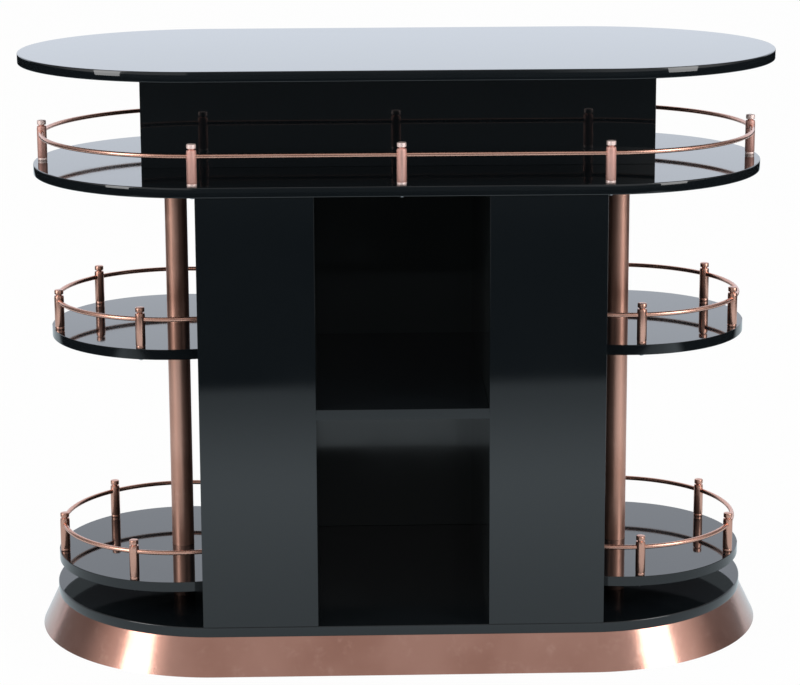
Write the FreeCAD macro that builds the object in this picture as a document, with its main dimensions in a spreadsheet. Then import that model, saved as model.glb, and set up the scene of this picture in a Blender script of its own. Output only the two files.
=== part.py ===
import FreeCAD, Part
import os

import Sketcher

# A bar counter: a cabinet with an open niche stands on a base board with rounded ends, carries an
# upper deck and a raised top, and has half-round shelves at both ends round a copper tube. Gallery
# rails on turned posts run round the deck and the shelves, and a copper skirt hides the plinth.
# Frame: X along the counter, the customer's side faces -Y, Z up, the floor under the middle is 0.

doc = FreeCAD.newDocument("bar_counter")

# ---------------------------------------------------------------- driving dimensions, mm and degrees
SIZES = (
    # boards and panels
    ("board_thick", 18, "every lacquered board that lies flat"),
    ("panel_thick", 18, "every upright panel"),
    ("edge_break", 0.8, "chamfer on the boards' rims"),
    # heights, from the floor up
    ("plinth_height", 62, "floor to the underside of the base board"),
    ("body_height", 755, "cabinet, between the base board and the deck"),
    ("apron_height", 179, "apron, between the deck and the top"),
    ("low_shelf_rise", 39, "base board to the underside of the low shelves"),
    ("mid_shelf_rise", 459, "base board to the underside of the middle shelves"),
    ("niche_shelf_rise", 369, "base board to the underside of the niche shelf"),
    # plan
    ("body_width", 694, "cabinet, along the counter"),
    ("niche_width", 296, "clear opening of the niche"),
    ("base_width", 604, "base board and cabinet, front to back"),
    ("deck_width", 610, "upper deck, front to back"),
    ("top_width", 650, "top, front to back"),
    ("base_bend_inset", 22, "the base board's round ends start this far inside the cabinet's side"),
    ("deck_bend_inset", 4, "the same on the deck"),
    ("top_bend_inset", 2, "the same on the top"),
    ("back_clearance", 6, "the cabinet's back, inside the deck's rail, clear of its screws"),
    ("apron_length", 900, "apron box, along the counter"),
    ("apron_depth", 200, "apron box, front to back"),
    # end shelves and their tubes
    ("pole_standoff", 51, "cabinet's side to the tube's axis"),
    ("pole_dia", 40, "copper tube, outside"),
    ("pole_wall", 1.5, "copper tube, wall"),
    ("pole_play", 0.4, "gap round the tube in a shelf's hole"),
    ("plug_height", 20, "turned plug inside each end of a tube"),
    ("plug_play", 0.15, "gap round a plug in its tube and round its spigot"),
    ("spigot_dia", 12, "the plug's spigot in the board"),
    ("spigot_length", 11, "depth that the spigot reaches into the board"),
    ("shelf_radius", 226, "end shelves, about the tube"),
    # gallery rails and their posts
    ("rail_dia", 8, "gallery rod"),
    ("deck_rail_inset", 15, "deck's edge to the rod's axis"),
    ("shelf_rail_inset", 10.5, "an end shelf's edge to the rod's axis"),
    ("rail_height", 51, "board's face to the rod's axis"),
    ("rail_play", 0.4, "gap round the rod in a post's bore"),
    ("post_height", 72, "turned post with its cap"),
    ("post_dia", 17.2, "along the middle of the barrel"),
    ("post_end_dia", 16, "at both ends of the barrel"),
    ("foot_taper", 6, "length of the barrel's taper at the foot"),
    ("head_taper", 5, "length of the barrel's taper under the neck"),
    ("neck_dia", 10, "under the cap"),
    ("neck_height", 2.8, "under the cap"),
    ("cap_dia", 16, "button cap"),
    ("cap_height", 7.6, "button cap"),
    ("cap_bevel", 1.4, "bevel round the cap's face"),
    ("post_step", 60, "degrees between the posts of a shelf"),
    ("corner_post_outset", 4.2, "the deck's corner posts, outside the cabinet's side"),
    ("mid_left_turn", 16, "degrees that a shelf's posts are turned towards the front"),
    ("mid_right_turn", 25, "the same, middle shelf on the right"),
    ("low_left_turn", 10, "the same, low shelf on the left"),
    ("low_right_turn", 24, "the same, low shelf on the right"),
    # screws
    ("screw_dia", 4, "shank of every screw"),
    ("screw_head_dia", 8, "pan head"),
    ("screw_head_height", 3.1, "pan head"),
    ("screw_head_bevel", 1, "bevel round a pan head's face"),
    ("screw_play", 0.15, "gap round a shank in its hole"),
    ("post_screw_grip", 14, "length of a post's screw inside the post"),
    ("shelf_screw_grip", 30, "length of a shelf's screw inside the shelf"),
    ("shelf_screw_spread", 240, "between the two screws of a shelf"),
    ("skirt_screw_grip", 12, "length of a skirt's screw inside the base board"),
    ("skirt_screw_spread", 420, "between the skirt's screws along a straight side"),
    ("skirt_screw_turn", 55, "degrees between the skirt's screws at an end"),
    # skirt, plinth, battens and glides
    ("skirt_flare", 30, "the skirt's foot stands this far out from its top"),
    ("skirt_setback", 1, "skirt's top inside the base board's edge"),
    ("sheet_thick", 1.5, "copper sheet"),
    ("flange_width", 16, "skirt's return under the base board"),
    ("plinth_setback", 82, "base board's straight edge to the plinth's face"),
    ("plinth_end_setback", 177, "tip of the base board's round end to the plinth's end"),
    ("glide_height", 5, "glides under the plinth"),
    ("glide_dia", 16, "glides under the plinth"),
    ("batten", 22, "square battens that fix the panels"),
    ("batten_setback", 30, "end of a batten to the next panel"),
)

sheet = doc.addObject("Spreadsheet::Sheet", "Sizes")
for row, (alias, number, note) in enumerate(SIZES, start=1):
    sheet.set(f"A{row}", alias.replace("_", " "))
    sheet.set(f"B{row}", str(number))
    sheet.set(f"C{row}", note)
    sheet.setAlias(f"B{row}", alias)
doc.recompute()

# --------------------------------------------------------------------- levels and places, from sizes
BASE_UNDER = "Sizes.plinth_height"
BASE_TOP = f"({BASE_UNDER} + Sizes.board_thick)"
DECK_UNDER = f"({BASE_TOP} + Sizes.body_height)"
DECK_TOP = f"({DECK_UNDER} + Sizes.board_thick)"
TOP_UNDER = f"({DECK_TOP} + Sizes.apron_height)"
LOW_SHELF_UNDER = f"({BASE_TOP} + Sizes.low_shelf_rise)"
MID_SHELF_UNDER = f"({BASE_TOP} + Sizes.mid_shelf_rise)"
NICHE_SHELF_UNDER = f"({BASE_TOP} + Sizes.niche_shelf_rise)"

BODY_SIDE = "(Sizes.body_width / 2)"
BODY_FRONT = "(Sizes.base_width / 2)"
NICHE_SIDE = "(Sizes.niche_width / 2)"
POLE_X = f"({BODY_SIDE} + Sizes.pole_standoff)"
BASE_BEND = f"({BODY_SIDE} - Sizes.base_bend_inset)"
DECK_BEND = f"({BODY_SIDE} - Sizes.deck_bend_inset)"
TOP_BEND = f"({BODY_SIDE} - Sizes.top_bend_inset)"
DECK_RAIL_RADIUS = "(Sizes.deck_width / 2 - Sizes.deck_rail_inset)"
CORNER_TURN = f"acos((Sizes.corner_post_outset + Sizes.deck_bend_inset) / {DECK_RAIL_RADIUS}) / 1 deg"
SHELF_RAIL_RADIUS = "(Sizes.shelf_radius - Sizes.shelf_rail_inset)"
BACK_FACE = f"min({BODY_FRONT}; {DECK_RAIL_RADIUS} - Sizes.back_clearance)"
FLANGE_RADIUS = "(Sizes.base_width / 2 - Sizes.skirt_setback - Sizes.flange_width / 2)"
PLINTH_END = f"({BASE_BEND} + Sizes.base_width / 2 - Sizes.plinth_end_setback)"
PLINTH_FRONT = "(Sizes.base_width / 2 - Sizes.plinth_setback)"
SCREW_HOLE = "(Sizes.screw_dia / 2 + Sizes.screw_play)"
SHELF_SCREW_Y = "(Sizes.shelf_screw_spread / 2)"

NODES = []


# --------------------------------------------------------------------------------- general helpers
def amount(expression):
    """The number that an expression has now."""
    return float(sheet.evalExpression(str(expression)))


def bind(item, path, expression):
    item.setExpression(path, str(expression))


def put(item, x="0", y="0", z="0", turn=None, axis=FreeCAD.Vector(0, 0, 1)):
    """Place an object; turn is in degrees about axis."""
    item.Placement = FreeCAD.Placement(FreeCAD.Vector(), FreeCAD.Rotation(axis, 1))
    for letter, expression in zip("xyz", (x, y, z)):
        bind(item, f"Placement.Base.{letter}", expression)
    bind(item, "Placement.Rotation.Angle", "0 deg" if turn is None else f"({turn}) * 1 deg")
    return item


def new_body(label):
    body = doc.addObject("PartDesign::Body", label)
    body.Label = label
    NODES.append(body)
    return body


def new_sketch(body, role="XY_Plane", lift="0"):
    """A sketch on one of the body's own planes, lifted along the plane's normal."""
    sketch = body.newObject("Sketcher::SketchObject", body.Name + "_sketch")
    plane = next(item for item in body.Origin.OriginFeatures if item.Role == role)
    sketch.AttachmentSupport = [(plane, "")]
    sketch.MapMode = "FlatFace"
    bind(sketch, "AttachmentOffset.Base.z", lift)
    return sketch


def pin(sketch, element, point, x, y):
    """Hold one point of the sketch at x, y, which are expressions."""
    for kind, across, expression in (("DistanceX", -2, x), ("DistanceY", -1, y)):
        if str(expression) == "0":
            sketch.addConstraint(Sketcher.Constraint("PointOnObject", element, point, across))
            continue
        number = amount(expression)
        index = sketch.addConstraint(Sketcher.Constraint(kind, -1, 1, element, point, number))
        bind(sketch, f"Constraints[{index}]", expression)


def draw_outline(sketch, corners, bulges=None):
    """A closed outline through corners; a side with a bulge is the arc through that point."""
    bulges = bulges or {}
    places = [FreeCAD.Vector(amount(x), amount(y), 0) for x, y in corners]
    count = len(corners)
    starts = []
    for side in range(count):
        first, last = places[side], places[(side + 1) % count]
        if side in bulges:
            middle = FreeCAD.Vector(*[amount(part) for part in bulges[side]], 0)
            arc = Part.Arc(first, middle, last)
            element = sketch.addGeometry(arc, False)
            forward = sketch.getPoint(element, 1).distanceToPoint(first) < 0.001
            starts.append((element, 1 if forward else 2, 2 if forward else 1))
            point = sketch.addGeometry(Part.Point(middle), True)
            pin(sketch, point, 1, *bulges[side])
            sketch.addConstraint(Sketcher.Constraint("PointOnObject", point, 1, element))
        else:
            element = sketch.addGeometry(Part.LineSegment(first, last), False)
            starts.append((element, 1, 2))
    for side in range(count):
        element, start, _ = starts[side]
        before, _, end = starts[side - 1]
        sketch.addConstraint(Sketcher.Constraint("Coincident", before, end, element, start))
        pin(sketch, element, start, *corners[side])


def draw_circle(sketch, radius, x="0", y="0"):
    circle = Part.Circle(FreeCAD.Vector(amount(x), amount(y), 0), FreeCAD.Vector(0, 0, 1), amount(radius))
    element = sketch.addGeometry(circle, False)
    pin(sketch, element, 3, x, y)
    index = sketch.addConstraint(Sketcher.Constraint("Radius", element, amount(radius)))
    bind(sketch, f"Constraints[{index}]", radius)


def draw_rectangle(sketch, left, right, low, high):
    draw_outline(sketch, ((left, low), (right, low), (right, high), (left, high)))


def draw_stadium(sketch, bend, radius):
    """Straight sides between x = -bend and x = bend, half circles beyond them."""
    corners = ((f"-{bend}", f"-{radius}"), (bend, f"-{radius}"), (bend, radius), (f"-{bend}", radius))
    draw_outline(sketch, corners, {1: (f"{bend} + {radius}", "0"), 3: (f"-{bend} - {radius}", "0")})


def pad(body, sketch, length):
    feature = body.newObject("PartDesign::Pad", body.Name + "_pad")
    feature.Profile = sketch
    bind(feature, "Length", length)
    doc.recompute()
    return feature


def cut(body, sketch, depth=None, reverse=False):
    """Pocket the sketch out of the body: by a depth, or both ways right through."""
    before = body.Shape.Volume
    feature = body.newObject("PartDesign::Pocket", body.Name + "_pocket")
    feature.Profile = sketch
    feature.Reversed = reverse
    if depth is None:
        feature.Type = "ThroughAll"
        feature.Midplane = True
    else:
        bind(feature, "Length", depth)
    doc.recompute()
    if body.Shape.Volume >= before:
        raise ValueError(f"a pocket of {body.Label} cuts nothing")
    return feature


def revolve(body, sketch):
    """Turn the sketch, drawn in the XZ plane, once round the body's Z axis."""
    feature = body.newObject("PartDesign::Revolution", body.Name + "_turned")
    feature.Profile = sketch
    feature.ReferenceAxis = (sketch, ["V_Axis"])
    feature.Angle = 360
    doc.recompute()
    return feature


def break_rims(body, feature):
    """Chamfer a board's long and round edges, but not the flat edge that meets the cabinet."""
    box = feature.Shape.BoundBox
    names = []
    for number, edge in enumerate(feature.Shape.Edges, start=1):
        first, last = edge.Vertexes[0].Point, edge.Vertexes[-1].Point
        level = any(abs(first.z - face) + abs(last.z - face) < 0.001 for face in (box.ZMin, box.ZMax))
        across = edge.Curve.TypeId == "Part::GeomLine" and abs(first.x - last.x) < 0.001
        if level and not across:
            names.append(f"Edge{number}")
    chamfer = body.newObject("PartDesign::Chamfer", body.Name + "_rims")
    chamfer.Base = (feature, names)
    bind(chamfer, "Size", "Sizes.edge_break")
    doc.recompute()


def group(label, members):
    """Several separate solids of one kind as one node."""
    compound = doc.addObject("Part::Compound", label)
    compound.Label = label
    compound.Links = members
    NODES.append(compound)
    return compound


def copies(master, places):
    """Linked copies of a master solid, one for each place."""
    links = []
    for number, place in enumerate(places, start=1):
        link = doc.addObject("App::Link", f"{master.Name}_{number}")
        link.LinkedObject = master
        put(link, *place)
        links.append(link)
    return links


# --------------------------------------------------------------------------------- boards and panels
def board(label, bend, radius, level):
    """A board with round ends, its underside at level."""
    body = new_body(label)
    sketch = new_sketch(body)
    draw_stadium(sketch, bend, radius)
    break_rims(body, pad(body, sketch, "Sizes.board_thick"))
    put(body, z=level)
    return body


def panel(label, width, depth, height, x, y, z):
    """A rectangular panel; x and y are its middle, z its lower end."""
    body = new_body(label)
    sketch = new_sketch(body)
    draw_rectangle(sketch, f"-({width}) / 2", f"({width}) / 2", f"-({depth}) / 2", f"({depth}) / 2")
    pad(body, sketch, height)
    put(body, x, y, z)
    return body


def polar(centre, radius, angle):
    """The place at an angle round a centre on the X axis."""
    return f"{centre} + {radius} * cos(({angle}) * 1 deg)", f"{radius} * sin(({angle}) * 1 deg)"


# Post places: label, centre on the X axis, radius of the rod, angle from +X, face of the board.
def side_angle(side, angle):
    """An angle from straight outward, positive to the front, as an angle from +X."""
    return f"-({angle})" if side == "right" else f"180 + ({angle})"


POSTS = []
for side, sign in (("left", "-"), ("right", "")):
    centre = f"({sign}{DECK_BEND})"
    for place, angle in (("front", CORNER_TURN), ("end", "0"), ("back", f"-({CORNER_TURN})")):
        turn = side_angle(side, angle)
        POSTS.append((f"deck_post_{side}_{place}", centre, DECK_RAIL_RADIUS, turn, DECK_UNDER))
for place, turn in (("front", "-90"), ("back", "90")):
    POSTS.append((f"deck_post_middle_{place}", "0", DECK_RAIL_RADIUS, turn, DECK_UNDER))
for level, under in (("mid", MID_SHELF_UNDER), ("low", LOW_SHELF_UNDER)):
    for side, sign in (("left", "-"), ("right", "")):
        centre = f"({sign}{POLE_X})"
        for place, steps in (("front", 1), ("end", 0), ("back", -1)):
            turn = side_angle(side, f"Sizes.{level}_{side}_turn + {steps} * Sizes.post_step")
            POSTS.append((f"{level}_post_{side}_{place}", centre, SHELF_RAIL_RADIUS, turn, under))


def drill_for_posts(body, prefix, shift="0", half_turn=False):
    """Clearance holes for the screws of the posts whose label starts with prefix."""
    sketch = new_sketch(body)
    for label, centre, radius, angle, _ in POSTS:
        if label.startswith(prefix):
            x, y = polar(centre, radius, angle)
            local_x, local_y = f"{x} - ({shift})", y
            if half_turn:
                local_x, local_y = f"-({local_x})", f"-({local_y})"
            draw_circle(sketch, SCREW_HOLE, local_x, local_y)
    cut(body, sketch)


top_slab = board("top_slab", TOP_BEND, "(Sizes.top_width / 2)", TOP_UNDER)

# The deck is drilled for its posts and has blind holes for the tubes' plugs in its underside.
upper_deck = board("upper_deck", DECK_BEND, "(Sizes.deck_width / 2)", DECK_UNDER)
drill_for_posts(upper_deck, "deck_post")
sockets = new_sketch(upper_deck)
for sign in ("-", ""):
    draw_circle(sockets, "Sizes.spigot_dia / 2 + Sizes.plug_play", f"{sign}{POLE_X}")
cut(upper_deck, sockets, "Sizes.spigot_length + 2 * Sizes.plug_play", reverse=True)

# The base board has the same blind holes in its face, and pilot holes for the skirt below.
base_board = board("base_board", BASE_BEND, "(Sizes.base_width / 2)", BASE_UNDER)
sockets = new_sketch(base_board, lift="Sizes.board_thick")
for sign in ("-", ""):
    draw_circle(sockets, "Sizes.spigot_dia / 2 + Sizes.plug_play", f"{sign}{POLE_X}")
cut(base_board, sockets, "Sizes.spigot_length + 2 * Sizes.plug_play")

SKIRT_SCREWS = []
for sign, turn in (("-", "180"), ("", "0")):
    for steps in (-1, 0, 1):
        angle = f"{turn} + {steps} * Sizes.skirt_screw_turn"
        SKIRT_SCREWS.append(polar(f"{sign}{BASE_BEND}", FLANGE_RADIUS, angle))
    for front in ("-", ""):
        SKIRT_SCREWS.append((f"{sign}Sizes.skirt_screw_spread / 2", f"{front}{FLANGE_RADIUS}"))

pilots = new_sketch(base_board)
for x, y in SKIRT_SCREWS:
    draw_circle(pilots, SCREW_HOLE, x, y)
cut(base_board, pilots, "Sizes.skirt_screw_grip + Sizes.screw_play", reverse=True)

# Apron box between the deck and the top: two long panels with the end panels between them.
APRON_INNER = "(Sizes.apron_depth - 2 * Sizes.panel_thick)"
for label, sign in (("apron_front", "-"), ("apron_back", "")):
    middle = f"{sign}(Sizes.apron_depth - Sizes.panel_thick) / 2"
    panel(label, "Sizes.apron_length", "Sizes.panel_thick", "Sizes.apron_height", "0", middle, DECK_TOP)
for label, sign in (("apron_left", "-"), ("apron_right", "")):
    middle = f"{sign}(Sizes.apron_length - Sizes.panel_thick) / 2"
    panel(label, "Sizes.panel_thick", APRON_INNER, "Sizes.apron_height", middle, "0", DECK_TOP)

# Cabinet: two hollow pillars with the niche between them. The front panels overlay the side panels
# and the niche walls. The back panel stands between the side panels and closes pillars and niche.
PILLAR_WIDTH = "((Sizes.body_width - Sizes.niche_width) / 2)"
PILLAR_MIDDLE = f"({NICHE_SIDE} + {PILLAR_WIDTH} / 2)"
FRONT_MIDDLE = f"({BODY_FRONT} - Sizes.panel_thick / 2)"
SIDE_MIDDLE = f"({BODY_SIDE} - Sizes.panel_thick / 2)"
NICHE_WALL_MIDDLE = f"({NICHE_SIDE} + Sizes.panel_thick / 2)"
WALL_FRONT = f"({BODY_FRONT} - Sizes.panel_thick)"
NICHE_BACK = f"({BACK_FACE} - Sizes.panel_thick)"
SHELF_MIDDLES = [f"(Sizes.{level}_shelf_rise + Sizes.board_thick / 2)" for level in ("low", "mid")]
NICHE_SHELF_MIDDLE = "(Sizes.niche_shelf_rise + Sizes.board_thick / 2)"


def wall(label, x, back, heights):
    """An upright wall from behind the front panel to y = back, drilled for the shelves' screws."""
    middle = f"(({back} - {WALL_FRONT}) / 2)"
    depth = f"{back} + {WALL_FRONT}"
    body = panel(label, "Sizes.panel_thick", depth, "Sizes.body_height", x, middle, BASE_TOP)
    sketch = new_sketch(body, "YZ_Plane")
    for height in heights:
        for sign in ("-", ""):
            draw_circle(sketch, SCREW_HOLE, f"{sign}{SHELF_SCREW_Y} - {middle}", height)
    cut(body, sketch)


for side, sign in (("left", "-"), ("right", "")):
    panel(f"body_front_{side}", PILLAR_WIDTH, "Sizes.panel_thick", "Sizes.body_height",
          f"{sign}{PILLAR_MIDDLE}", f"-{FRONT_MIDDLE}", BASE_TOP)
    wall(f"body_side_{side}", f"{sign}{SIDE_MIDDLE}", BODY_FRONT, SHELF_MIDDLES)
    wall(f"niche_wall_{side}", f"{sign}{NICHE_WALL_MIDDLE}", NICHE_BACK, [NICHE_SHELF_MIDDLE])
panel("body_back", "Sizes.body_width - 2 * Sizes.panel_thick", "Sizes.panel_thick", "Sizes.body_height",
      "0", f"{BACK_FACE} - Sizes.panel_thick / 2", BASE_TOP)

# The niche shelf is as deep as the niche and has pilot holes in both ends.
NICHE_SHELF_Y = f"(({NICHE_BACK} - {BODY_FRONT}) / 2)"
niche_shelf = panel("niche_shelf", "Sizes.niche_width", f"{NICHE_BACK} + {BODY_FRONT}",
                    "Sizes.board_thick", "0", NICHE_SHELF_Y, NICHE_SHELF_UNDER)
for sign, reverse in (("-", True), ("", False)):
    pilots = new_sketch(niche_shelf, "YZ_Plane", f"{sign}{NICHE_SIDE}")
    for front in ("-", ""):
        draw_circle(pilots, SCREW_HOLE, f"{front}{SHELF_SCREW_Y} - {NICHE_SHELF_Y}", "Sizes.board_thick / 2")
    cut(niche_shelf, pilots, "Sizes.shelf_screw_grip + Sizes.screw_play", reverse)


# ------------------------------------------------------------------------------------- end shelves
def end_shelf(label, side, prefix, level):
    """A disc about the tube, cut off flat where it meets the cabinet's side."""
    body = new_body(label)
    flat = "-Sizes.pole_standoff"
    half = "sqrt(Sizes.shelf_radius ^ 2 - Sizes.pole_standoff ^ 2)"
    sketch = new_sketch(body)
    draw_outline(sketch, ((flat, f"-{half}"), (flat, half)), {1: ("Sizes.shelf_radius", "0")})
    break_rims(body, pad(body, sketch, "Sizes.board_thick"))
    hole = new_sketch(body)
    draw_circle(hole, "Sizes.pole_dia / 2 + Sizes.pole_play")
    cut(body, hole)
    pole_x = f"-{POLE_X}" if side == "left" else POLE_X
    drill_for_posts(body, prefix, pole_x, half_turn=side == "left")
    pilots = new_sketch(body, "YZ_Plane", flat)
    for sign in ("-", ""):
        draw_circle(pilots, SCREW_HOLE, f"{sign}{SHELF_SCREW_Y}", "Sizes.board_thick / 2")
    cut(body, pilots, "Sizes.shelf_screw_grip + Sizes.screw_play", reverse=True)
    put(body, pole_x, "0", level, "180" if side == "left" else None)


for level, under in (("mid", MID_SHELF_UNDER), ("low", LOW_SHELF_UNDER)):
    for side in ("left", "right"):
        end_shelf(f"{level}_shelf_{side}", side, f"{level}_post_{side}", under)

# ------------------------------------------------------------------ copper tubes and their plugs
for side, sign in (("left", "-"), ("right", "")):
    pole = new_body(f"pole_{side}")
    ring = new_sketch(pole)
    draw_circle(ring, "Sizes.pole_dia / 2")
    draw_circle(ring, "Sizes.pole_dia / 2 - Sizes.pole_wall")
    pad(pole, ring, "Sizes.body_height")
    put(pole, f"{sign}{POLE_X}", "0", BASE_TOP)

plug = doc.addObject("PartDesign::Body", "plug")
PLUG_RADIUS = "Sizes.pole_dia / 2 - Sizes.pole_wall - Sizes.plug_play"
profile = new_sketch(plug, "XZ_Plane")
draw_outline(profile, (("0", "-Sizes.spigot_length"), ("Sizes.spigot_dia / 2", "-Sizes.spigot_length"),
                       ("Sizes.spigot_dia / 2", "0"), (PLUG_RADIUS, "0"),
                       (PLUG_RADIUS, "Sizes.plug_height"), ("0", "Sizes.plug_height")))
revolve(plug, profile)
plug_places = [(f"{sign}{POLE_X}", "0", BASE_TOP) for sign in ("-", "")]
plug_places += [(f"{sign}{POLE_X}", "0", DECK_UNDER, "180", FreeCAD.Vector(1, 0, 0)) for sign in ("-", "")]
group("pole_plugs", copies(plug, plug_places))


# ------------------------------------------------------------------------------------ gallery rails
# The deck's rail is two straight rods and two half rings, which meet inside the corner posts.
for label, sign in (("deck_rail_front", "-"), ("deck_rail_back", "")):
    rail = new_body(label)
    section = new_sketch(rail, "YZ_Plane", f"-{DECK_BEND}")
    draw_circle(section, "Sizes.rail_dia / 2")
    pad(rail, section, f"2 * {DECK_BEND}")
    put(rail, "0", f"{sign}{DECK_RAIL_RADIUS}", f"{DECK_TOP} + Sizes.rail_height")


def ring_rail(label, radius, flat, x, z, turn):
    """A ring of rod about Z, cut off square to X at x = flat."""
    rail = new_body(label)
    section = new_sketch(rail, "XZ_Plane")
    draw_circle(section, "Sizes.rail_dia / 2", radius)
    revolve(rail, section)
    waste = new_sketch(rail)
    reach = f"({radius} + Sizes.rail_dia)"
    draw_rectangle(waste, f"-{reach}", flat, f"-{reach}", reach)
    cut(rail, waste)
    put(rail, x, "0", z, turn)


for side, sign, turn in (("left", "-", "180"), ("right", "", None)):
    ring_rail(f"deck_rail_{side}", DECK_RAIL_RADIUS, "0", f"{sign}{DECK_BEND}",
              f"{DECK_TOP} + Sizes.rail_height", turn)
    for level, under in (("mid", MID_SHELF_UNDER), ("low", LOW_SHELF_UNDER)):
        ring_rail(f"{level}_rail_{side}", SHELF_RAIL_RADIUS, "-Sizes.pole_standoff", f"{sign}{POLE_X}",
                  f"{under} + Sizes.board_thick + Sizes.rail_height", turn)

# ------------------------------------------------------------------------------------ gallery posts
BARREL_TOP = "(Sizes.post_height - Sizes.cap_height - Sizes.neck_height)"


def post(label, centre, radius, angle, under):
    """A turned post: barrel, neck and button cap, bored across for the rod."""
    body = new_body(label)
    profile = new_sketch(body, "XZ_Plane")
    corners = (
        ("0", "0"),
        ("Sizes.post_end_dia / 2", "0"),
        ("Sizes.post_dia / 2", "Sizes.foot_taper"),
        ("Sizes.post_dia / 2", f"{BARREL_TOP} - Sizes.head_taper"),
        ("Sizes.post_end_dia / 2", BARREL_TOP),
        ("Sizes.neck_dia / 2", BARREL_TOP),
        ("Sizes.neck_dia / 2", "Sizes.post_height - Sizes.cap_height"),
        ("Sizes.cap_dia / 2", "Sizes.post_height - Sizes.cap_height"),
        ("Sizes.cap_dia / 2", "Sizes.post_height - Sizes.cap_bevel"),
        ("Sizes.cap_dia / 2 - Sizes.cap_bevel", "Sizes.post_height"),
        ("0", "Sizes.post_height"),
    )
    draw_outline(profile, corners)
    revolve(body, profile)
    bore = new_sketch(body, "XZ_Plane")
    draw_circle(bore, "Sizes.rail_dia / 2 + Sizes.rail_play", "0", "Sizes.rail_height")
    cut(body, bore)
    thread = new_sketch(body)
    draw_circle(thread, SCREW_HOLE)
    cut(body, thread, "Sizes.post_screw_grip + Sizes.screw_play", reverse=True)
    x, y = polar(centre, radius, angle)
    put(body, x, y, f"{under} + Sizes.board_thick", angle)


for label, centre, radius, angle, under in POSTS:
    post(label, centre, radius, angle, under)


# ------------------------------------------------------------------------------------------- screws
def screw(name, length):
    """A screw along +Z whose head bears at 0."""
    body = doc.addObject("PartDesign::Body", name)
    profile = new_sketch(body, "XZ_Plane")
    head = "Sizes.screw_head_dia / 2"
    corners = (
        ("0", "-Sizes.screw_head_height"),
        (f"{head} - Sizes.screw_head_bevel", "-Sizes.screw_head_height"),
        (head, "Sizes.screw_head_bevel - Sizes.screw_head_height"),
        (head, "0"),
        ("Sizes.screw_dia / 2", "0"),
        ("Sizes.screw_dia / 2", length),
        ("0", length),
    )
    draw_outline(profile, corners)
    revolve(body, profile)
    return body


post_screw = screw("post_screw", "Sizes.board_thick + Sizes.post_screw_grip")
post_screw_places = [(*polar(centre, radius, angle), under) for _, centre, radius, angle, under in POSTS]
group("post_screws", copies(post_screw, post_screw_places))

skirt_screw = screw("skirt_screw", "Sizes.sheet_thick + Sizes.skirt_screw_grip")
skirt_screw_places = [(x, y, f"{BASE_UNDER} - Sizes.sheet_thick") for x, y in SKIRT_SCREWS]
group("skirt_screws", copies(skirt_screw, skirt_screw_places))

# The shelves' screws start inside the pillars: outwards into the end shelves, inwards into the
# niche shelf.
shelf_screw = screw("shelf_screw", "Sizes.panel_thick + Sizes.shelf_screw_grip")
outer_face = f"({BODY_SIDE} - Sizes.panel_thick)"
inner_face = f"({NICHE_SIDE} + Sizes.panel_thick)"
ALONG = FreeCAD.Vector(0, 1, 0)
shelf_screw_places = []
for front in ("-", ""):
    y = f"{front}{SHELF_SCREW_Y}"
    for height in SHELF_MIDDLES:
        z = f"{BASE_TOP} + {height}"
        shelf_screw_places.append((outer_face, y, z, "90", ALONG))
        shelf_screw_places.append((f"-{outer_face}", y, z, "-90", ALONG))
    z = f"{BASE_TOP} + {NICHE_SHELF_MIDDLE}"
    shelf_screw_places.append((inner_face, y, z, "-90", ALONG))
    shelf_screw_places.append((f"-{inner_face}", y, z, "90", ALONG))
group("shelf_fixing_screws", copies(shelf_screw, shelf_screw_places))

# ------------------------------------------------------------------------------------ copper skirt
# One sheet flares from under the base board to the floor and returns under the board as a flange.
skirt = new_body("skirt")
SKIRT_TOP = "(Sizes.base_width / 2 - Sizes.skirt_setback)"
SKIRT_FOOT = f"({SKIRT_TOP} + Sizes.skirt_flare)"


def skirt_outline(radius, level):
    sketch = new_sketch(skirt, lift=level)
    draw_stadium(sketch, BASE_BEND, radius)
    return sketch


outer = skirt.newObject("PartDesign::AdditiveLoft", "skirt_outer")
outer.Profile = skirt_outline(SKIRT_FOOT, "0")
outer.Sections = [skirt_outline(SKIRT_TOP, BASE_UNDER)]
outer.Ruled = True
doc.recompute()
solid_volume = skirt.Shape.Volume
inner = skirt.newObject("PartDesign::SubtractiveLoft", "skirt_inner")
inner.Profile = skirt_outline(f"({SKIRT_FOOT} - Sizes.sheet_thick)", "0")
inner.Sections = [skirt_outline(f"({SKIRT_TOP} - Sizes.sheet_thick)", f"{BASE_UNDER} - Sizes.sheet_thick")]
inner.Ruled = True
doc.recompute()
if skirt.Shape.Volume >= solid_volume:
    raise ValueError("the skirt isn't hollow")
cut(skirt, skirt_outline(f"({SKIRT_TOP} - Sizes.flange_width)", BASE_UNDER))
holes = new_sketch(skirt, lift=BASE_UNDER)
for x, y in SKIRT_SCREWS:
    draw_circle(holes, SCREW_HOLE, x, y)
cut(skirt, holes, "2 * Sizes.sheet_thick")

# ------------------------------------------------------------------------- plinth, glides, battens
PLINTH_BOARD = "(Sizes.plinth_height - Sizes.glide_height)"
for label, sign in (("plinth_front", "-"), ("plinth_back", "")):
    panel(label, f"2 * {PLINTH_END}", "Sizes.panel_thick", PLINTH_BOARD,
          "0", f"{sign}({PLINTH_FRONT} - Sizes.panel_thick / 2)", "Sizes.glide_height")
for label, sign in (("plinth_left", "-"), ("plinth_right", "")):
    panel(label, "Sizes.panel_thick", f"2 * ({PLINTH_FRONT} - Sizes.panel_thick)", PLINTH_BOARD,
          f"{sign}({PLINTH_END} - Sizes.panel_thick / 2)", "0", "Sizes.glide_height")

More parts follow.
